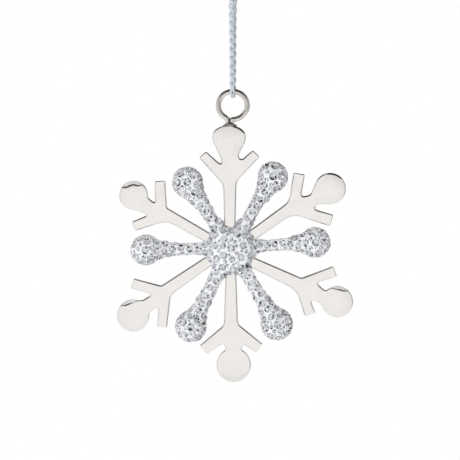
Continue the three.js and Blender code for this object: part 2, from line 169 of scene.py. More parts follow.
class Nodes:
    """A node tree and a short way to add nodes to it."""

    def __init__(self, owner):
        owner.use_nodes = True
        self.tree = owner.node_tree

    def feed(self, value, socket):
        if isinstance(value, bpy.types.NodeSocket):
            self.tree.links.new(value, socket)
        else:
            socket.default_value = value

    def node(self, kind, settings=None, **inputs):
        node = self.tree.nodes.new(kind)
        for name, value in (settings or {}).items():
            setattr(node, name, value)
        for socket, value in inputs.items():
            self.feed(value, node.inputs[socket.replace("_", " ")])
        return node


class Shader(Nodes):
    """A principled material whose colours and bumps are procedural."""

    def __init__(self, name, **constants):
        self.material = bpy.data.materials.new(name)
        super().__init__(self.material)
        self.surface = self.tree.nodes["Principled BSDF"]
        for socket, value in constants.items():
            self.surface.inputs[socket.replace("_", " ")].default_value = value
        self.place = self.node("ShaderNodeTexCoord").outputs["Object"]
        self.bumps = {}

    def stretched(self, scale, turn=0.0):
        return self.node("ShaderNodeMapping", Vector=self.place, Scale=scale,
                         Rotation=(0, turn, 0)).outputs["Vector"]

    def noise(self, scale, detail, place=None):
        return self.node("ShaderNodeTexNoise", Vector=place or self.place, Scale=scale,
                         Detail=detail).outputs["Fac"]

    def ramp(self, factor, *stops):
        """stops are (position, grey level or colour)."""
        node = self.node("ShaderNodeValToRGB", Fac=factor)
        elements = node.color_ramp.elements
        while len(elements) < len(stops):
            elements.new(0.5)
        for element, (position, colour) in zip(elements, stops):
            element.position = position
            grey = isinstance(colour, (int, float))
            element.color = (colour, colour, colour, 1) if grey else (*colour, 1)
        return node.outputs["Color"]

    def link(self, output, socket):
        self.tree.links.new(output, self.surface.inputs[socket])

    def mottle(self, scale, detail, colours, roughness):
        """Colour and roughness that follow one noise."""
        patches = self.noise(scale, detail)
        self.link(self.ramp(patches, *colours), "Base Color")
        self.link(self.ramp(patches, *roughness), "Roughness")

    def bump(self, height, distance, strength):
        """A bump on top of the ones before."""
        node = self.node("ShaderNodeBump", Height=height, Distance=distance, Strength=strength,
                         **self.bumps)
        self.bumps["Normal"] = node.outputs["Normal"]
        self.link(self.bumps["Normal"], "Normal")


def nickel_material():
    """Polished cast nickel: a soft orange-peel wave, fine polishing lines and warm patches."""
    shader = Shader("polished_nickel", Metallic=1.0)
    patches = shader.noise(70, detail=3)
    tone = shader.ramp(patches, (0.3, (0.825, 0.805, 0.79)), (0.7, (0.80, 0.80, 0.785)))
    shader.link(tone, "Base Color")
    lines = shader.noise(1, detail=4, place=shader.stretched((2600, 2600, 160), 0.4))
    smears = shader.noise(210, detail=4)
    shader.link(shader.ramp(smears, (0.3, 0.07), (0.75, 0.19)), "Roughness")
    shader.bump(shader.noise(160, detail=1), 0.00006, 0.5)
    shader.bump(lines, 0.000004, 0.5)
    return shader.material


def satin_material():
    """The filed facets of the lobes: pale and matt, with lines from the file."""
    shader = Shader("filed_nickel", Metallic=0.3)
    shader.mottle(240, 3, [(0.3, (0.76, 0.745, 0.735)), (0.7, (0.82, 0.81, 0.80))],
                  [(0.3, 0.5), (0.7, 0.4)])
    lines = shader.noise(1, detail=3, place=shader.stretched((1800, 1800, 300), 0.3))
    shader.bump(lines, 0.000004, 0.5)
    return shader.material


def wire_material():
    """Drawn nickel wire: greyer than the arms, with lines from the die and darker patches."""
    shader = Shader("drawn_wire", Metallic=1.0)
    shader.mottle(420, 4, [(0.3, (0.62, 0.60, 0.575)), (0.7, (0.80, 0.78, 0.76))],
                  [(0.3, 0.34), (0.7, 0.26)])
    scratches = shader.noise(1, detail=3, place=shader.stretched((900, 3500, 900)))
    shader.bump(scratches, 0.00001, 0.25)
    return shader.material


def solder_material():
    """Dull grey solder with small pits and darker flux stains."""
    shader = Shader("solder", Metallic=1.0)
    shader.mottle(900, 4, [(0.35, (0.16, 0.14, 0.12)), (0.65, (0.42, 0.40, 0.38))],
                  [(0.3, 0.55), (0.7, 0.32)])
    shader.bump(shader.noise(2600, detail=3), 0.00012, 0.7)
    return shader.material


def putty_material():
    """Pale blue-silver modelling putty full of fine glitter."""
    shader = Shader("glitter_putty", IOR=1.5)
    flakes = shader.node("ShaderNodeTexVoronoi", Vector=shader.place, Scale=3600.0)
    random_grey = shader.node("ShaderNodeSeparateColor", Color=flakes.outputs["Color"]).outputs["Red"]
    base = shader.ramp(random_grey, (0.0, (0.70, 0.73, 0.79)), (0.45, (0.90, 0.92, 0.97)),
                       (0.9, (0.97, 0.98, 1.0)))
    shader.link(base, "Base Color")
    shader.link(shader.ramp(random_grey, (0.55, 0.0), (0.9, 0.6)), "Metallic")
    shader.link(shader.ramp(random_grey, (0.4, 0.55), (0.9, 0.22)), "Roughness")
    shader.bump(random_grey, 0.00016, 0.8)
    shader.bump(shader.noise(1300, detail=3), 0.0002, 0.6)
    return shader.material


def glass_material():
    """Clear cut crystal, a little cool in some stones."""
    shader = Shader("crystal_glass", Roughness=0.0, IOR=1.56, Transmission_Weight=1.0)
    tint = shader.noise(340, detail=1)
    shader.link(shader.ramp(tint, (0.35, (1.0, 1.0, 1.0)), (0.7, (0.90, 0.94, 1.0))), "Base Color")
    return shader.material


def foil_material():
    """The silvered back of a stone, seen through its glass."""
    shader = Shader("silver_foil", Metallic=0.2)
    shader.mottle(2400, 2, [(0.3, (0.93, 0.935, 0.95)), (0.7, 1.0)], [(0.3, 0.30), (0.7, 0.12)])
    return shader.material


def painted_shade_material():
    """Painted shade: a near-black colour on a facet of a stone's back, standing in for the light that leaves
    by it.
    """
    shader = Shader("crystal_painted_shade", Metallic=0.6)
    shader.mottle(1500, 2, [(0.35, (0.02, 0.017, 0.014)), (0.65, (0.12, 0.11, 0.10))],
                  [(0.3, 0.12), (0.7, 0.05)])
    return shader.material


def cord_material():
    """Metallic yarn: silver-blue filament with a soft sheen."""
    shader = Shader("metallic_yarn", Metallic=0.25, Sheen_Weight=0.2, Sheen_Roughness=0.4)
    shader.mottle(2600, 3, [(0.3, (0.47, 0.52, 0.59)), (0.5, (0.57, 0.61, 0.67)),
                            (0.7, (0.73, 0.76, 0.80))], [(0.3, 0.5), (0.75, 0.25)])
    strands = shader.noise(1, detail=2, place=shader.stretched((9000, 9000, 2500)))
    shader.bump(strands, 0.00005, 0.8)
    return shader.material


def brass_material():
    """Raw brass of the hidden rods, balls and hub core."""
    shader = Shader("raw_brass", Metallic=1.0)
    shader.mottle(600, 4, [(0.3, (0.52, 0.38, 0.16)), (0.7, (0.70, 0.53, 0.26))],
                  [(0.3, 0.45), (0.7, 0.3)])
    shader.bump(shader.noise(1800, detail=3), 0.00005, 0.5)
    return shader.material


def floor_material():
    """Pale paper that gives off some light, so its shadows stay soft."""
    shader = Shader("studio_floor", Roughness=0.6, Emission_Color=(1, 1, 1, 1), Emission_Strength=0.42)
    shader.link(shader.ramp(shader.noise(6, detail=4), (0.3, 0.80), (0.7, 0.84)), "Base Color")
    return shader.material


# ---- Cord ----

WIRE_RADIUS = 0.0012
BIGHT_Z = -0.0762  # middle of the ring's top wire
BIGHT_RADIUS = 0.0022  # the cord is pressed flat where it turns round the wire

# One strand, from under the knot past the hook and down the front to the bottom of the bight.
# The other is the same, half a turn about Z.
STRAND = [
    (-0.00135, 0, 0.0015),
    (-0.0023, 0, -0.0004),
    (-0.0027, 0, -0.0022),
    (-0.0025, 0, -0.005),
    (-0.002, -0.0001, -0.009),
    (-0.00175, -0.0002, -0.013),
    (-0.0014, -0.0006, -0.02),
    (-0.001, -0.00095, -0.028),
    (-0.00065, -0.00115, -0.036),
    (-0.00045, -0.00135, -0.046),
    (-0.00035, -0.0015, -0.056),
    (-0.00025, -0.002, -0.066),
    (-0.0002, -0.0024, -0.0725),
    (-0.0002, -BIGHT_RADIUS, BIGHT_Z),
    (-0.00012, -BIGHT_RADIUS * sqrt(0.5), BIGHT_Z - BIGHT_RADIUS * sqrt(0.5)),
    (0, 0, BIGHT_Z - BIGHT_RADIUS),
]

# The overhand knot, tied in both strands at once. Its middle line is an open trefoil.
KNOT_Z = 0.0095
KNOT_SIZE = 0.0019
KNOT_DEPTH = 0.002
KNOT_HALF_TURN = 1.87  # the trefoil's parameter where a lead joins it
KNOT_SHIFT = 0.45  # in knot sizes, brings the knot onto the cord's line
PAIR_HALF = 0.00125  # from the pair's middle line to each cord
LEAD = [(0, 0, 4.2), (-0.06, 0.4, 3.3), (-0.02, 0.72, 2.4), (0.3, 0.4, 1.5), (0.65, -0.2, 0.8)]
TAILS = [
    [(-0.0012, 0.0002, 0.0188), (-0.0018, -0.0004, 0.0208), (-0.0031, -0.0003, 0.0226)],
    [(0.0013, 0.0, 0.0188), (0.0016, 0.0006, 0.0208), (0.0024, 0.0008, 0.0229)],
]
KNOT_STEPS = 36
PAIR_STEP = 0.0012
PATH_STEP = 0.00025


def knot_middle():
    """Points of the pair's middle line through the knot, from the bottom up."""
    points = [(x, -y, -z) for x, y, z in LEAD]
    for i in range(KNOT_STEPS + 1):
        t = lerp(KNOT_HALF_TURN, -KNOT_HALF_TURN, i / KNOT_STEPS)
        x = cos(t) - 2 * cos(2 * t) - KNOT_SHIFT
        points.append((x, -sin(3 * t), sin(t) + 2 * sin(2 * t)))
    points += [(x, y, z) for x, y, z in reversed(LEAD)]
    return [Vector((x * KNOT_SIZE, y * KNOT_DEPTH, KNOT_Z + z * KNOT_SIZE)) for x, y, z in points]


def pair_through_knot():
    """The two cords' lines through the knot, side by side in its plane."""
    middle = catmull_rom(knot_middle(), PAIR_STEP)
    tangents = np.gradient(middle, axis=0)
    across = unit_rows(np.stack([tangents[:, 2], 0 * tangents[:, 1], -tangents[:, 0]], axis=1))
    return [middle - across * PAIR_HALF, middle + across * PAIR_HALF]


def cord_route():
    """The whole cord: a tail, the knot, a strand, the bight, the other strand, the knot, a tail."""
    left, right = pair_through_knot()
    back = [(-x, -y, z) for x, y, z in STRAND]
    outward = [tuple(p) for p in left[1:]] + TAILS[0]
    inward = [tuple(p) for p in right[1:]] + TAILS[1]
    whole = outward[::-1] + STRAND + back[-2::-1] + inward
    return catmull_rom(whole, PATH_STEP)


YARNS = 2  # each way round
YARN_PITCH = 0.0078
YARN_RING = 0.0008
YARN_WEAVE = 0.00018
YARN_WIDE = 0.00066
YARN_THICK = 0.00036
YARN_SIDES = 10
PLY_PITCH = 0.0013
PLY_DEPTH = 0.13  # of the three ridges round each yarn, as a share of its size
FRAY_LENGTH = 0.0028
FLAT_REACH = 0.0028  # along the cord, each side of the bight's bottom
FLAT_PRESS = 0.56  # how far the yarns are pressed together there
FLAT_SPREAD = 0.42  # and pushed out along X
FLAT_THIN = 0.25  # and made thinner
MOST_CUT = 5  # path steps by which a yarn's end may fall short of the cord's


def yarn_rings(path, way, place, draw):
    """Rings of points along one yarn of the braid, over the whole cord."""
    sides, ups = frames_along(path, (1, 0, 0))
    total = length_of(path)
    along = np.linspace(0, total, len(path))
    from_bottom = np.abs(along - along[np.argmin(path[:, 2])])
    flat = smoothstep(0, FLAT_REACH * 0.45, from_bottom + 0.0003)
    flat = flat * (1 - smoothstep(FLAT_REACH, FLAT_REACH * 1.9, from_bottom))
    turn = way * tau * along / YARN_PITCH + tau * place / YARNS
    weave = way * np.cos(tau * along * YARNS / YARN_PITCH)
    loose = np.clip(1 - np.minimum(along, total - along) / FRAY_LENGTH, 0, 1) ** 2
    out = sides * np.cos(turn)[:, None] + ups * np.sin(turn)[:, None]
    ring = (YARN_RING + YARN_WEAVE * weave) * (1 + loose * draw.uniform(0.6, 1.5))
    offset = out * ring[:, None]
    spread = offset * np.array([1, 0, 0])
    near_bottom = 1 - smoothstep(0, FLAT_REACH, from_bottom)
    pressed = np.maximum(flat, near_bottom)
    offset = offset * (1 - FLAT_PRESS * pressed)[:, None] + spread * (FLAT_SPREAD * flat)[:, None]
    centre = path + offset
    direction = unit_rows(np.gradient(centre, axis=0))
    lift = unit_rows(out - direction * np.sum(out * direction, axis=1, keepdims=True))
    over = np.cross(direction, lift)
    thick = YARN_THICK * (1 - FLAT_THIN * pressed)
    columns = []
    for j in range(YARN_SIDES):
        a = tau * j / YARN_SIDES
        ply = 1 + PLY_DEPTH * np.cos(3 * a + tau * along / PLY_PITCH)
        columns.append(centre + over * (YARN_WIDE * ply * cos(a))[:, None]
                       + lift * (thick * ply * sin(a))[:, None])
    return np.stack(columns, axis=1)


def make_cord(material):
    """The cord in two halves that meet at the bottom of the bight, each up to its own tail."""
    path = cord_route()
    middle = int(np.argmin(path[:, 2]))
    draw = random.Random(11)
    yarns = [yarn_rings(path, way, place, draw) for way in (1, -1) for place in range(YARNS)]
    short = [(draw.randrange(MOST_CUT), draw.randrange(MOST_CUT)) for _ in yarns]
    halves = {
        "cord_front": (path[:middle + 1][::-1],
                       [yarn[cut:middle + 1] for yarn, (cut, _) in zip(yarns, short)],
                       ["cord_knot", "cord_bight", "cord_tail_left", "cord_loop_left", "cord_strand_front"]),
        "cord_back": (path[middle:],
                      [yarn[middle:len(path) - cut] for yarn, (_, cut) in zip(yarns, short)],
                      ["cord_tail_right", "cord_loop_right", "cord_strand_back"]),
    }
    for name, (line, pieces, nodes) in halves.items():
        faces = []
        count = 0
        for rings in pieces:
            faces += tube_faces(len(rings), YARN_SIDES, count)
            count += len(rings) * YARN_SIDES
        points = np.concatenate([rings.reshape(-1, 3) for rings in pieces])
        cord = add_mesh(name, points, faces, [material], nodes, body=None)
        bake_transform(cord)


# ---- Places in the flake ----

HUB = Vector((-0.0008, 0, -0.1466))


def flake_point(along, left, out, angle):
    """World place of a point given along an arm at this angle, to its left, and frontward."""
    c, s = cos(angle), sin(angle)
    return Vector((HUB.x + along * c - left * s, -out, HUB.z + along * s + left * c))


# ---- Flat arms ----

PLATE_HALF = 0.001
PLATE_START = 0.0122
STEM_FROM = 0.0084  # the plate runs on under the hub's putty to here
END_ROUND = 0.0008
CROTCH_ROUND = 0.0017
NECK_ROUND = 0.0014

# The facet filed on a lobe's edge: its direction in the world and half its spread, in degrees,
# its width, its slope in degrees, and whether it's matt.
Facet = namedtuple("Facet", "direction spread width slope matt")

# fork: its place along the stem. turn: of the near edge from the stem, in degrees. length: of
# the near edge. end: the end's width. flare: the far edge's turn relative to the near one.
# rounding: the fork's radius. crotch: the far edge's last distance from the stem's line.
# neck: where that side of the lobe begins.
Branch = namedtuple("Branch", "fork turn length end flare rounding crotch neck")

# angle: degrees. offset: the stem's line to the left of the hub's centre, looking outward.
# stem: width at the hub and the fork. lobe: place along the stem, shift to the left, half width
# and tip height. left and right: the branches.
Arm = namedtuple("Arm", "angle offset stem lobe left right facet")
ARMS = {
    "arm_top": Arm(
        90, 0.0005, (0.005, 0.0064), (0.0501, 0.0004, 0.0076, 0.0051),
        Branch(0.0285, 42, 0.0163, 0.0043, 6.5, 0.0025, 0.0042, (0.0392, 0.0035)),
        Branch(0.0299, 43, 0.0152, 0.0043, 7, 0.002, 0.005, (0.0418, 0.0038)),
        Facet(40, 40, 0.0009, 24, False)),
    "arm_upper_right": Arm(
        35.3, -0.0008, (0.0048, 0.0059), (0.0518, -0.0032, 0.0071, 0.0071),
        Branch(0.0334, 46, 0.013, 0.0053, -1, 0.003, 0.0014, (0.0429, -0.0003)),
        Branch(0.0314, 53.2, 0.0176, 0.0054, -1, 0.004, 0.0066, (0.0431, 0.0055)),
        Facet(72, 42, 0.0009, 24, False)),
    "arm_lower_right": Arm(
        -25, -0.00175, (0.0046, 0.0062), (0.0536, 0, 0.0071, 0.007),
        Branch(0.0344, 45.6, 0.0152, 0.0052, -4, 0.0008, 0.0038, (0.0466, 0.0022)),
        Branch(0.0347, 47.3, 0.0124, 0.0051, -3, 0.004, 0.0043, (0.0468, 0.0037)),
        Facet(90, 52, 0.0019, 24, True)),
    "arm_bottom": Arm(
        -90, 0.0, (0.0047, 0.0066), (0.0526, 0.0012, 0.00775, 0.0077),
        Branch(0.0341, 51, 0.0144, 0.005, 6, 0.0015, 0.0056, (0.0456, 0.0047)),
        Branch(0.0346, 50, 0.0144, 0.0052, 6, 0.0015, 0.0034, (0.0456, 0.0023)),
        Facet(-86, 75, 0.0026, 3, False)),
    "arm_lower_left": Arm(
        214.5, -0.00085, (0.0047, 0.0061), (0.0536, 0.001, 0.0073, 0.0071),
        Branch(0.0343, 49, 0.0149, 0.0045, 3, 0.002, 0.0043, (0.0465, 0.0039)),
        Branch(0.0354, 49.6, 0.0129, 0.0049, 0, 0.0008, 0.0022, (0.0463, 0.0023)),
        Facet(96, 50, 0.0021, 24, True)),
    "arm_upper_left": Arm(
        150.4, 0.00105, (0.0046, 0.0054), (0.0498, 0, 0.0065, 0.0065),
        Branch(0.0312, 47.3, 0.015, 0.0044, 5.5, 0.004, 0.0045, (0.0438, 0.0051)),
        Branch(0.034, 57, 0.0121, 0.0049, 1.8, 0.0008, 0.0017, (0.0436, 0.0023)),
        Facet(98, 58, 0.0022, 24, True)),
}
EDGE_RADIUS = 0.00068
LOBE_EDGE_RADIUS = 0.00045
END_EDGE_RADIUS = 0.00025  # at a branch's sawn end
FACET_EDGE_RADIUS = 0.00014
FACET_RAMP = 0.0007
LOBE_DOME = 0.00016
LEAST_HALF = 0.00008  # half the plate's thickness at its rim
FACE_WAVE = 0.000014
FACE_WAVE_LENGTH = 0.009
SPREAD_SHARE = 0.6  # of the way to the lobe; the stem would be at its widest there
OUTLINE_STEP = 0.00055
LOBE_STEPS = 72
ROUND_STEPS = 8
# The rings of points inside an arm's outline, by distance from it, and the step of the grid within.
INSETS = [0.00005, 0.00012, 0.0002, 0.0003, 0.00042, 0.0006, 0.0008, 0.001, 0.00125, 0.0015,
          0.0018, 0.0021, 0.0025]
GRID = 0.0007


def side_corners(arm, side):
    """(x, y, radius) of one side's corners from the hub outward; side 1 is left, -1 right."""
    branch = arm.left if side > 0 else arm.right
    near = radians(branch.turn)
    far = radians(branch.turn + branch.flare)
    at = arm.lobe[0]
    spread = min((branch.fork - PLATE_START) / (at - PLATE_START) / SPREAD_SHARE, 1)
    fork = (branch.fork, lerp(*arm.stem, spread) / 2)
    outer = (fork[0] + branch.length * cos(near), fork[1] + branch.length * sin(near))
    inner = (outer[0] + branch.end * sin(near), outer[1] - branch.end * cos(near))
    crotch = (inner[0] - (inner[1] - branch.crotch) / tan(far), branch.crotch)
    corners = [(STEM_FROM, arm.stem[0] / 2, 0), (*fork, branch.rounding), (*outer, END_ROUND),
               (*inner, END_ROUND), (*crotch, CROTCH_ROUND), (*branch.neck, NECK_ROUND)]
    return [(x, side * y, r) for x, y, r in corners]


def lobe_corners(arm, right_neck, left_neck):
    """The lobe's round, from where its tangent leaves the right neck to the left one."""
    at, shift, half, tip = arm.lobe

    def tangent_turn(neck, side):
        along, across = neck[0] - at, side * (neck[1] - shift)
        reach = hypot(along, across)
        return atan2(across, along) - acos(min(1, half / reach))

    first = -tangent_turn(right_neck, -1)
    last = tangent_turn(left_neck, 1)
    points = []
    for i in range(LOBE_STEPS + 1):
        turn = lerp(first, last, i / LOBE_STEPS)
        along = tip if cos(turn) > 0 else half
        points.append((at + along * cos(turn), shift + half * sin(turn), 0))
    return points


def rounded_outline(corners):
    """The outline with a smooth curve in place of each corner that has a radius."""
    points = []
    for i, (x, y, radius) in enumerate(corners):
        here = np.array([x, y])
        if radius == 0:
            points.append(here)
            continue
        ends = []
        for other in (corners[i - 1], corners[(i + 1) % len(corners)]):
            reach = np.array(other[:2]) - here
            distance = np.linalg.norm(reach)
            ends.append(here + reach / distance * min(radius, distance * 0.45))
        for k in range(ROUND_STEPS + 1):
            t = k / ROUND_STEPS
            points.append((1 - t) ** 2 * ends[0] + 2 * t * (1 - t) * here + t * t * ends[1])
    return np.array(points)


def finer(outline, longest):
    points = []
    for a, b in zip(outline, np.roll(outline, -1, axis=0)):
        count = max(1, ceil(np.linalg.norm(b - a) / longest))
        points += [lerp(a, b, k / count) for k in range(count)]
    return np.array(points)


def distance_to(outline, points):
    nearest = np.full(len(points), np.inf)
    for start, step in zip(outline, np.roll(outline, -1, axis=0) - outline):
        reach = points - start
        t = np.clip(reach @ step / max(step @ step, 1e-18), 0, 1)
        nearest = np.minimum(nearest, np.linalg.norm(reach - t[:, None] * step, axis=1))
    return nearest


def inside_of(outline, points):
    inside = np.zeros(len(points), bool)
    x, y = points[:, 0], points[:, 1]
    for (x0, y0), (x1, y1) in zip(outline, np.roll(outline, -1, axis=0)):
        if y0 == y1:
            continue
        crosses = (y0 > y) != (y1 > y)
        inside ^= crosses & (x < (x1 - x0) * (y - y0) / (y1 - y0) + x0)
    return inside


def face_points(outline):
    """Points over an arm's face: the outline, closer rings near it, and an even grid within."""
    run = unit_rows(np.roll(outline, -1, axis=0) - np.roll(outline, 1, axis=0))
    inward = np.stack([-run[:, 1], run[:, 0]], axis=1)
    kept = [outline]
    for inset in INSETS:
        ring = outline + inward * inset
        ring = ring[distance_to(outline, ring) > inset * 0.985]
        ring = ring[inside_of(outline, ring)]
        apart = []
        for point in ring:
            if not apart or np.linalg.norm(point - apart[-1]) > max(0.0001, inset * 0.3):
                apart.append(point)
        kept.append(np.array(apart))
    low, high = outline.min(axis=0), outline.max(axis=0)
    rows = np.arange(low[1], high[1], GRID * sqrt(0.75))
    columns = np.arange(low[0], high[0], GRID)
    grid = np.array([(x + (i % 2) * GRID / 2, y) for i, y in enumerate(rows) for x in columns])
    grid = grid[inside_of(outline, grid)]
    kept.append(grid[distance_to(outline, grid) > INSETS[-1] + GRID * 0.5])
    return np.concatenate(kept)


def plate_half_thickness(arm, points, depth):
    """Half the plate's thickness at each point, and whether the point lies on a matt facet."""
    at, shift, half, _ = arm.lobe
    facet = arm.facet
    local = radians(facet.direction - arm.angle)
    turn = np.arctan2(points[:, 1] - shift, points[:, 0] - at)
    apart = np.abs((turn - local + pi) % tau - pi)
    share = smoothstep(0, 0.5, 1 - apart / radians(facet.spread))
    share = share * smoothstep(at - half * 1.1, at - half * 0.2, points[:, 0])
    reach = facet.width * share
    ramp = np.minimum(FACET_RAMP, reach * 0.7) + 1e-9
    into = np.clip(reach - depth, 0, None)
    rise = np.where(into < ramp, into ** 2 / (2 * ramp), into - ramp / 2)
    rise = rise * tan(radians(facet.slope))
    at_end = np.full(len(points), np.inf)
    for corners in (side_corners(arm, 1), side_corners(arm, -1)):
        end = np.array([corners[2][:2], corners[3][:2]])
        at_end = np.minimum(at_end, distance_to(end, points))
    radius = lerp(END_EDGE_RADIUS, EDGE_RADIUS, smoothstep(0.0003, 0.0014, at_end))
    radius = lerp(radius, LOBE_EDGE_RADIUS, smoothstep(at - half * 1.5, at - half * 0.7, points[:, 0]))
    radius = lerp(radius, FACET_EDGE_RADIUS, share)
    inner = np.clip(radius - depth, 0, None)
    edge = radius - np.sqrt(np.clip(radius ** 2 - inner ** 2, 0, None))
    dome = LOBE_DOME * np.clip(1 - depth / half, 0, 1) ** 2 * smoothstep(at - half, at, points[:, 0])
    filed = (into > ramp * 0.6) & (depth > 0.0001) & facet.matt
    return np.clip(PLATE_HALF - edge - rise - dome, LEAST_HALF, None), filed


def make_arm(name, arm, materials):
    """One plate: its two faces as meshes of triangles, joined along the rim."""
    right = side_corners(arm, -1)
    left = side_corners(arm, 1)
    lobe = lobe_corners(arm, right[-1], left[-1])
    outline = finer(rounded_outline([*right, *lobe, *reversed(left)]), OUTLINE_STEP)
    flat = face_points(outline)
    count = len(outline)
    found = geometry.delaunay_2d_cdt([Vector(p) for p in flat], [], [list(range(count))], 1, 1e-7)
    flat = np.array([tuple(p) for p in found[0]])
    triangles = [tuple(f) for f in found[2]]
    rim = [found[3].index(next(o for o in found[3] if i in o)) for i in range(count)]
    depth = distance_to(outline, flat)
    thick, filed = plate_half_thickness(arm, flat, depth)
    angle = radians(arm.angle)
    seed = Vector((arm.angle, 3.1, 7.7))
    front = []
    back = []
    for (x, y), half in zip(flat, thick):
        wave = FACE_WAVE * noise.noise(Vector((x, y, 0)) / FACE_WAVE_LENGTH + seed)
        front.append(flake_point(x, y + arm.offset, half + wave, angle))
        back.append(flake_point(x, y + arm.offset, wave - half, angle))
    n = len(front)
    faces = list(triangles)
    faces += [(a + n, c + n, b + n) for a, b, c in triangles]
    for a, b in zip(rim, rim[1:] + rim[:1]):
        faces.append((b, a, a + n, b + n))
    satin = [int(all(filed[i] for i in triangle)) for triangle in triangles]
    add_mesh(name + "_plate", front + back, faces, materials, [name],
             satin * 2 + [0] * len(rim))


# ---- Putty and crystals ----

# angle: degrees. reach: from the hub to the ball's middle. ball: radius of the coated ball.
# neck: radius of the coated arm. flare: where the arm leaves the ball, as a share of its radius.
StarPoint = namedtuple("StarPoint", "angle reach ball neck flare")
STAR = {
    "upper_left": StarPoint(123.5, 0.0354, 0.0072, 0.00275, 0.53),
    "upper_right": StarPoint(59.6, 0.0371, 0.0071, 0.0028, 0.58),
    "right": StarPoint(3.9, 0.0379, 0.0071, 0.0026, 0.6),
    "lower_right": StarPoint(-58.9, 0.0399, 0.0075, 0.0029, 0.58),
    "lower_left": StarPoint(242.9, 0.0395, 0.0073, 0.0032, 0.6),
    "left": StarPoint(181.3, 0.0383, 0.0071, 0.0027, 0.6),
}
ROOT_EXTRA = 0.0011  # added to the neck's radius at the hub
ROOT_FROM = 0.008
ROOT_TO = 0.017
STONE_PROUD = 0.0003  # how far the stones lift the coated outline above the putty
PROFILE_STEP = 0.00028
TIP_STEPS = 60
PUTTY_SIDES = 64
HUB_LEVELS = 44  # from the rim to each pole
HUB_SIDES = 120
HUB_TOP_LEVEL = 0.998  # the last row stays a small ring
HUB_HEIGHT = 0.0062
# How far the hub's putty reaches along each arm, by the arm's angle, and between them.
HUB_RIM = [(-90, 0.0122), (-58.9, 0.0128), (-25, 0.0113), (3.9, 0.0128), (35.3, 0.0114), (59.6, 0.0122),
           (90, 0.0096), (123.5, 0.0122), (150.4, 0.0115), (181.3, 0.0128), (214.5, 0.0116),
           (242.9, 0.0128), (270, 0.0122)]
# Stone radii and tries for each size, from the largest to the beads that fill what is left.
STONES = [(0.00170, 300), (0.00148, 700), (0.0010, 1500), (0.00068, 2500), (0.00042, 4000)]
STONE_GAP = 0.00008
STONE_SCATTER = (0.94, 1.04)  # of the radii
STONE_LEAN = 0.11
STONE_LIFT = (-0.35, 0.12)  # in radii, where the surface faces sideways and where it faces front
ROW_STONE = 0.0015  # radius of the stones in line along a star point
ROW_END = 0.0125  # the line stops here, at the hub's putty
BEAD_LARGEST = 0.0006  # radius up to which a stone is a bead
EIGHT_FOLD = 0.0012  # radius from which a stone is cut in eight, not in six
CROWN_STONE = 0.00175  # radius of the stone on the hub's and each ball's front
LARGE_STONE = 0.0011  # radius from which a stone is only set on the front and the back
LARGE_FACING = 0.5  # least share of Y in a large stone's normal
PAINTED_SHADE_SHARE = 0.3  # of the facets of a stone's back, which get painted shade
BEAD_PAINTED_SHADE_SHARE = 0.3 * PAINTED_SHADE_SHARE


def star_radius(along, point):
    """The putty's radius at a distance from the hub, along a star point."""
    ball = point.ball - STONE_PROUD
    neck = point.neck - STONE_PROUD
    inward = point.reach - along
    leaves = point.flare * ball
    if inward <= leaves:
        return sqrt(max(0.0, ball ** 2 - inward ** 2))
    radius = sqrt(ball ** 2 - leaves ** 2)
    fade = (radius - neck) * radius / leaves
    root = ROOT_EXTRA * (1 - smoothstep(ROOT_FROM, ROOT_TO, along))
    return float(neck + (radius - neck) * exp((leaves - inward) / fade) + root)


def star_profile(point):
    """(distance, radius) from the root to the tip, at even steps."""
    ball = point.ball - STONE_PROUD
    rough = [(x, star_radius(x, point)) for x in np.arange(ROOT_FROM, point.reach, 0.0001)]
    for i in range(TIP_STEPS + 1):
        turn = pi / 2 * (1 - i / TIP_STEPS)
        rough.append((point.reach + ball * cos(turn), ball * sin(turn)))
    return even_steps([(x, r, 0) for x, r in rough], PROFILE_STEP)[:, :2]


def hub_rim(turn):
    angles, reaches = zip(*HUB_RIM)
    return float(np.interp((degrees(turn) + 90) % 360 - 90, angles, reaches))


def hub_height(share):
    """Half the hub's thickness at a share of the way out to its rim."""
    return HUB_HEIGHT * max(0.0, 1 - share ** 3.4) ** 0.8


def hub_surface(level, turn, face):
    """World place on the hub's putty: level 0 at the rim and 1 at the pole."""
    share = cos(level * pi / 2)
    across = hub_rim(turn) * share
    out = hub_height(share)
    return Vector((HUB.x + across * cos(turn), -face * out, HUB.z + across * sin(turn)))


def in_hub(point, margin):
    """Whether a point lies inside the hub's putty."""
    x, y, z = point.x - HUB.x, abs(point.y), point.z - HUB.z
    across = hypot(x, z) / hub_rim(atan2(z, x))
    if across >= 1:
        return False
    return y < hub_height(across) - margin


def arm_place(point, angle):
    """How far a point lies along an arm at this angle and to its left."""
    c, s = cos(radians(angle)), sin(radians(angle))
    x, z = point.x - HUB.x, point.z - HUB.z
    return x * c + z * s, z * c - x * s


def in_star(point, margin):
    """Whether a point lies inside a star point's putty."""
    for arm in STAR.values():
        along, left = arm_place(point, arm.angle)
        if ROOT_FROM < along < arm.reach + arm.ball:
            if hypot(left, point.y) < star_radius(along, arm) - margin:
                return True
    return False


def near_arm(point, margin):
    """Whether a stone at this point would sit in an arm's plate."""
    if abs(point.y) > PLATE_HALF + margin * 0.7:
        return False
    for arm in ARMS.values():
        along, left = arm_place(point, arm.angle)
        if along > 0 and abs(left - arm.offset) < arm.stem[0] / 2 + margin:
            return True
    return False


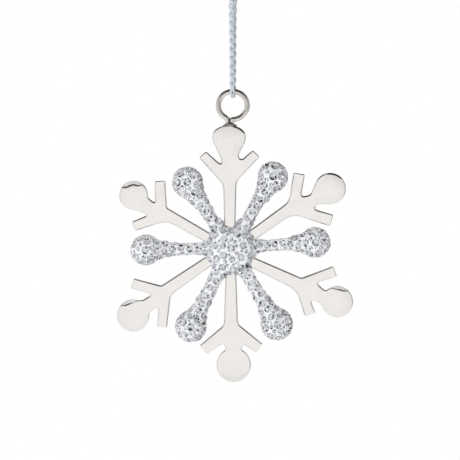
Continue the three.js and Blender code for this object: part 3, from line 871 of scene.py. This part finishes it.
class Surface:
    """A coated surface: closed rows of places, their normals, and their areas summed in turn."""

    def __init__(self, rows):
        self.grid = np.array([[tuple(p) for p in row] for row in rows])
        across = np.roll(self.grid, -1, axis=1) - np.roll(self.grid, 1, axis=1)
        along = np.gradient(self.grid, axis=0)
        normal = np.cross(across, along)
        size = np.linalg.norm(normal, axis=2, keepdims=True)
        self.normals = normal / np.maximum(size, 1e-15)
        self.summed = np.cumsum(size).tolist()

    def sample(self, draw):
        """A place drawn by area, and its normal."""
        index = draw.choices(range(len(self.summed)), cum_weights=self.summed)[0]
        i, j = divmod(index, self.grid.shape[1])
        return Vector(self.grid[i, j]), Vector(self.normals[i, j])


def set_stones(surface, draw, seeds, allowed):
    """Stones as (place, normal, radius), largest first, none over another."""
    stones = []

    def fits(place, radius):
        for other, _, other_radius in stones:
            if (other - place).length < radius + other_radius + STONE_GAP:
                return False
        return allowed(place, radius)

    for place, normal, radius in seeds:
        if fits(place, radius):
            stones.append((place, normal, radius))
    for radius, tries in STONES:
        for _ in range(tries):
            place, normal = surface.sample(draw)
            size = radius * draw.uniform(*STONE_SCATTER)
            if size > LARGE_STONE and abs(normal.y) < LARGE_FACING:
                continue
            if fits(place, size):
                stones.append((place, normal, size))
    return stones


def ring_points(size, height, shift, count):
    turns = [(i + shift) * tau / count for i in range(count)]
    return [(size * cos(turn), size * sin(turn), height) for turn in turns]


# A stone's rings of points: size and height in radii, shift, and points to each fold of its cut.
STONE_RINGS = [(0.52, 0.40, 0, 1), (0.78, 0.25, 0.5, 1), (1, 0, 0, 2), (1, -0.06, 0, 2)]
CULET_SHIFT = 0.15
CULET_DEPTH = 0.5


def stone_shape(radius, fold, draw):
    """A round brilliant's points and faces in its own frame, the table towards +Z, and each
    face's material: 0 the glass front, 1 the foiled back, 2 a facet of the back with painted shade."""
    points = []
    for size, height, shift, per_fold in STONE_RINGS:
        points += ring_points(size * radius, height * radius, shift, per_fold * fold)
    culet_x, culet_y = [draw.uniform(-CULET_SHIFT, CULET_SHIFT) * radius for _ in "xy"]
    points.append((culet_x, culet_y, -CULET_DEPTH * radius))
    star, girdle, band, culet = fold, 2 * fold, 4 * fold, 6 * fold
    faces = [tuple(range(fold))]
    for i in range(fold):
        j = (i + 1) % fold
        faces.append((i, star + i, j))
        faces.append((i, star + (i - 1) % fold, girdle + 2 * i, star + i))
        faces.append((star + i, girdle + 2 * i, girdle + 2 * i + 1))
        faces.append((star + i, girdle + 2 * i + 1, girdle + (2 * i + 2) % (2 * fold)))
    for i in range(2 * fold):
        j = (i + 1) % (2 * fold)
        faces.append((girdle + i, band + i, band + j, girdle + j))
    kinds = [0] * len(faces)
    for i in range(2 * fold):
        faces.append((band + i, culet, band + (i + 1) % (2 * fold)))
        # Some facets of the back get painted shade at random.
        kinds.append(2 if draw.random() < PAINTED_SHADE_SHARE else 1)
    return points, faces, kinds


def bead_shape(radius, draw):
    """A small faceted bead in its own frame, silvered, with painted shade on a few facets."""
    points = [(0, 0, 0.8 * radius)]
    for k, (size, height) in enumerate([(0.62, 0.55), (1.0, -0.05), (0.7, -0.6)]):
        points += ring_points(size * radius, height * radius, 0.5 * k, 6)
    faces = []
    for i in range(6):
        j = (i + 1) % 6
        faces.append((0, 1 + i, 1 + j))
        faces.append((1 + i, 7 + i, 1 + j))
        faces.append((1 + j, 7 + i, 7 + j))
        faces.append((7 + i, 13 + i, 7 + j))
        faces.append((7 + j, 13 + i, 13 + j))
    # A few facets get painted shade at random.
    kinds = [2 if draw.random() < BEAD_PAINTED_SHADE_SHARE else 1 for _ in faces]
    faces.append(tuple(13 + i for i in reversed(range(6))))
    return points, faces, kinds + [1]


def make_stones(name, stones, draw, materials, replaced):
    points = []
    faces = []
    kinds = []
    for place, normal, radius in stones:
        if radius > BEAD_LARGEST:
            shape, sides, kind = stone_shape(radius, 8 if radius > EIGHT_FOLD else 6, draw)
        else:
            shape, sides, kind = bead_shape(radius, draw)
        lean = Vector([draw.gauss(0, 1) for _ in range(3)]) * STONE_LEAN
        up = (normal + lean).normalized()
        side = up.orthogonal().normalized()
        spin = draw.uniform(0, tau)
        side = side * cos(spin) + up.cross(side) * sin(spin)
        over = up.cross(side)
        lift = place + up * (lerp(*STONE_LIFT, min(1, abs(normal.y) / LARGE_FACING)) * radius)
        start = len(points)
        points += [lift + side * x + over * y + up * z for x, y, z in shape]
        faces += [tuple(start + i for i in face) for face in sides]
        kinds += kind
    add_mesh(name, points, faces, materials, replaced, kinds, smooth=False)


PUTTY_LUMP = 0.00016
PIT_DEPTH = 0.0003  # under a stone
WALL_FROM = 0.0001  # the putty's wall round a stone is highest up to here from its girdle
WALL_TO = 0.0005


def make_putty(name, surface, stones, material, replaced):
    """The putty's mesh: lumpy, and pressed up into a low wall round each stone."""
    tree = kdtree.KDTree(len(stones))
    for i, (place, _, _) in enumerate(stones):
        tree.insert(place, i)
    tree.balance()
    count, sides = surface.grid.shape[:2]
    points = []
    for i in range(count):
        for j in range(sides):
            point = Vector(surface.grid[i, j])
            normal = Vector(surface.normals[i, j])
            rise = PUTTY_LUMP * (noise.noise(point / 0.0011) + 0.5 * noise.noise(point / 0.0005))
            wall = 0.0
            for _, k, _ in tree.find_n(point, 3):
                place, up, radius = stones[k]
                from_stone = point - place
                beside = (from_stone - up * from_stone.dot(up)).length
                level = -from_stone.dot(up) + 0.08 * radius
                if beside < radius * 0.8:
                    wall = min(wall, -PIT_DEPTH)
                elif radius * 0.97 <= beside < radius + WALL_TO:
                    fade = 1 - smoothstep(radius + WALL_FROM, radius + WALL_TO, beside)
                    wall = max(wall, level * fade)
            points.append(point + normal * (rise + wall))
    add_mesh(name, points, tube_faces(count, sides, 0), [material], replaced)


def star_surface(point):
    turn = radians(point.angle)
    rows = []
    for along, radius in star_profile(point):
        radius = max(radius, 0.00002)
        rows.append([flake_point(along, radius * cos(a), radius * sin(a), turn)
                     for a in (tau * j / PUTTY_SIDES for j in range(PUTTY_SIDES))])
    return Surface(rows)


def hub_surface_grid():
    rows = []
    for i in range(-HUB_LEVELS, HUB_LEVELS + 1):
        level = min(abs(i) / HUB_LEVELS, HUB_TOP_LEVEL)
        face = -1 if i < 0 else 1
        rows.append([hub_surface(level, tau * j / HUB_SIDES, face) for j in range(HUB_SIDES)])
    return Surface(rows)


def row_seeds(point, draw):
    """Large stones in line along the front and the back of a star point, and on the ball."""
    turn = radians(point.angle)
    seeds = []
    for face in (1, -1):
        place = flake_point(point.reach, 0, face * star_radius(point.reach, point), turn)
        seeds.append((place, FRONT * face, CROWN_STONE))
        along = point.reach - point.ball - draw.uniform(0.0004, 0.0012)
        while along > ROW_END:
            size = ROW_STONE * draw.uniform(0.94, 1.06)
            radius = star_radius(along, point)
            lean = draw.uniform(-0.35, 0.35)
            left, out = sin(lean), face * cos(lean)
            place = flake_point(along, radius * left, radius * out, turn)
            normal = flake_point(0, left, out, turn) - HUB
            seeds.append((place, normal.normalized(), size))
            along -= 2 * size + draw.uniform(0.0002, 0.0010)
    return seeds


def make_star(place, point, materials, putty):
    draw = random.Random(round(point.angle * 10) + 5000)
    surface = star_surface(point)

    def allowed(spot, radius):
        return not in_hub(spot, -0.2 * radius) and not near_arm(spot, radius * 0.8)

    stones = set_stones(surface, draw, row_seeds(point, draw), allowed)
    make_putty("star_putty_" + place, surface, stones, putty, ["star_coat_" + place])
    make_stones("star_stones_" + place, stones, draw, materials, ["crystal_" + place])


def make_hub(materials, putty):
    draw = random.Random(77)
    surface = hub_surface_grid()

    def allowed(point, radius):
        return not in_star(point, -0.2 * radius) and not near_arm(point, radius * 0.8)

    seeds = [(HUB + FRONT * face * HUB_HEIGHT, FRONT * face, CROWN_STONE) for face in (1, -1)]
    stones = set_stones(surface, draw, seeds, allowed)
    make_putty("hub_putty", surface, stones, putty, ["hub_coat_front", "hub_coat_back"])
    make_stones("hub_stones", stones, draw, materials, ["crystal_hub"])


# ---- Hanger ----

RING_Z = -0.0825
RING_HALF_WIDE = 0.0065
RING_HALF_TALL = 0.0063
RING_LEAVES = (31, 4)  # degrees from the lowest point to where each end turns down
RING_ENDS = (
    [(-0.0026, -0.0886), (-0.00238, -0.0896), (-0.00232, -0.0908)],
    [(-0.0003, -0.0889), (-0.00064, -0.0896), (-0.00068, -0.0908)],
)
END_TAPER = 0.66  # an end's radius over the wire's
TAPER_LENGTH = 0.003
SOLDER_CENTRE = (-0.0013, 0, -0.0911)
SOLDER_HALF = (0.0030, 0.0014, 0.0008)
SOLDER_SAG = 0.0005  # of its two sides, which follow the lobe's round top
RING_STEPS = 40
WIRE_SIDES = 28
SOLDER_ROWS = 32
SOLDER_SIDES = 48


def ring_path():
    left, right = ([(x, 0, z) for x, z in end] for end in RING_ENDS)
    sweep = 360 - sum(RING_LEAVES)
    points = list(reversed(left))
    for i in range(RING_STEPS + 1):
        turn = radians(-90 - RING_LEAVES[0] - sweep * i / RING_STEPS)
        points.append((RING_HALF_WIDE * cos(turn), 0, RING_Z + RING_HALF_TALL * sin(turn)))
    return catmull_rom(points + right, 0.0003)


def make_ring(material):
    path = ring_path()
    sides, ups = frames_along(path, (0, 1, 0))
    total = length_of(path)
    points = []
    for i, (centre, side, up) in enumerate(zip(path, sides, ups)):
        from_end = min(i, len(path) - 1 - i) / (len(path) - 1) * total
        taper = lerp(END_TAPER, 1, min(from_end / TAPER_LENGTH, 1))
        for j in range(WIRE_SIDES):
            turn = tau * j / WIRE_SIDES
            spot = Vector(centre) / 0.003 + Vector((cos(turn), sin(turn), 0)) * 0.4
            radius = WIRE_RADIUS * taper * (1 + 0.02 * noise.noise(spot))
            points.append(centre + (side * cos(turn) + up * sin(turn)) * radius)
    add_mesh("ring_wire", points, tube_faces(len(path), WIRE_SIDES, 0), [material],
             ["hanger_ring"])


def make_solder(material):
    """A low puddle that wets both wire ends and the lobe's top."""
    left, right = (end[-1][0] for end in RING_ENDS)
    # Each climb's place, height and width.
    climbs = [(left, 0.0005, 0.0008), (right, 0.0005, 0.0008), ((left + right) / 2, 0.0022, 0.0003)]
    points = []
    for i in range(1, SOLDER_ROWS):
        tilt = pi * i / SOLDER_ROWS
        for j in range(SOLDER_SIDES):
            turn = tau * j / SOLDER_SIDES
            ray = Vector((sin(tilt) * cos(turn), sin(tilt) * sin(turn), cos(tilt)))
            size = 1 + 0.16 * noise.noise(ray * 2.1) + 0.06 * noise.noise(ray * 6)
            x = SOLDER_CENTRE[0] + ray.x * SOLDER_HALF[0] * size
            climb = sum(height * exp(-((x - place) / wide) ** 2) for place, height, wide in climbs)
            z = SOLDER_CENTRE[2] + ray.z * SOLDER_HALF[2] * size - SOLDER_SAG * ray.x ** 2
            points.append((x, ray.y * SOLDER_HALF[1] * size, z + climb * max(0.0, ray.z)))
    add_mesh("ring_solder", points, tube_faces(SOLDER_ROWS - 1, SOLDER_SIDES, 0), [material],
             ["hanger_solder"])


# ---- Studio ----

class World(Nodes):
    """Colour by direction, from masks on the direction's own coordinates."""

    def __init__(self):
        world = bpy.data.worlds.new("studio")
        bpy.context.scene.world = world
        super().__init__(world)
        self.tree.nodes.clear()
        place = self.node("ShaderNodeTexCoord").outputs["Generated"]
        self.x, self.y, self.z = self.node("ShaderNodeSeparateXYZ", Vector=place).outputs

    def math(self, operation, *values):
        node = self.node("ShaderNodeMath", {"operation": operation})
        for value, socket in zip(values, node.inputs):
            self.feed(value, socket)
        return node.outputs[0]

    def step(self, value, low, high):
        return self.node("ShaderNodeMapRange", {"interpolation_type": "SMOOTHSTEP"}, Value=value,
                         From_Min=low, From_Max=high).outputs[0]

    def mix(self, under, over, mask):
        node = self.node("ShaderNodeMix", {"data_type": "RGBA"})
        for value, index in ((mask, 0), (under, 6), (over, 7)):
            self.feed((*value, 1) if isinstance(value, tuple) else value, node.inputs[index])
        return node.outputs[2]


LEFT_GREY = (0.84, 0.83, 0.82)
RIGHT_GREY = (0.50, 0.49, 0.48)
FRONT_WHITE = (1.07, 1.045, 1.03)
TOP_BROWN = (0.035, 0.027, 0.02)
BELOW_WHITE = (0.86, 0.86, 0.86)
BACK_WHITE = (0.95, 0.95, 0.95)
LIGHT_SIZE = 0.9


def make_world():
    """Pale in front, below, behind and to the left, grey to the right, and dark above."""
    world = World()
    turn = world.math("MULTIPLY", world.math("ARCCOSINE", world.math("MULTIPLY", world.y, -1.0)),
                      180 / pi)
    squares = world.math("ADD", world.math("MULTIPLY", world.x, world.x),
                         world.math("MULTIPLY", world.z, world.z))
    across = world.math("SQRT", world.math("ADD", squares, 1e-6))
    rise = world.math("DIVIDE", world.z, across)
    above = world.step(rise, 0.4, 0.85)
    below = world.step(rise, -0.05, -0.6)
    colour = world.mix(LEFT_GREY, RIGHT_GREY, world.step(world.x, -0.1, 0.2))
    colour = world.mix(colour, TOP_BROWN, above)
    colour = world.mix(colour, BELOW_WHITE, below)
    colour = world.mix(colour, BACK_WHITE, world.step(turn, 150, 165))
    colour = world.mix(FRONT_WHITE, colour, world.step(turn, 3, 22))
    rays = world.node("ShaderNodeLightPath")
    seen = world.mix(colour, (1, 1, 1), rays.outputs["Is Camera Ray"])
    background = world.node("ShaderNodeBackground", Color=seen)
    world.node("ShaderNodeOutputWorld", Surface=background.outputs[0])


def add_light(name, place, power):
    """A large round lamp towards the flake, which doesn't show in its polished faces."""
    light = bpy.data.lights.new(name, "AREA")
    light.shape = "DISK"
    light.size = LIGHT_SIZE
    light.energy = power
    lamp = add_object(name, light)
    lamp.location = place
    lamp.rotation_euler = (Vector((0, 0, VIEW_Z)) - Vector(place)).to_track_quat("-Z", "Y").to_euler()
    lamp.visible_glossy = False
    lamp.visible_camera = False


def make_floor(material):
    bpy.ops.mesh.primitive_plane_add(size=1.5, location=(0, 0.15, -0.45))
    floor = bpy.context.object
    floor.name = "floor"
    floor.data.materials.append(material)


# ---- Assembly ----

make_camera()
make_cord(cord_material())

NICKEL = [nickel_material(), satin_material()]
for arm_name, arm_facts in ARMS.items():
    make_arm(arm_name, arm_facts, NICKEL)

PUTTY = putty_material()
# The third crystal material is painted shade for some facets of the stones' backs.
CRYSTAL = [glass_material(), foil_material(), painted_shade_material()]
make_hub(CRYSTAL, PUTTY)
for star_place, star_point in STAR.items():
    make_star(star_place, star_point, CRYSTAL, PUTTY)

make_ring(wire_material())
make_solder(solder_material())

BRASS = brass_material()
for node_name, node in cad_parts.items():
    if node_name == "hub_core" or node_name.startswith(("star_rod", "star_ball")):
        for material_slot in node.material_slots:
            material_slot.material = BRASS

make_world()
add_light("front_fill", (-0.25, -1.1, 0.35), 12.0)
add_light("back_fill", (0.3, 1.1, 0.35), 8.0)
make_floor(floor_material())
bpy.context.scene.view_settings.view_transform = "Standard"

bpy.context.view_layer.update()
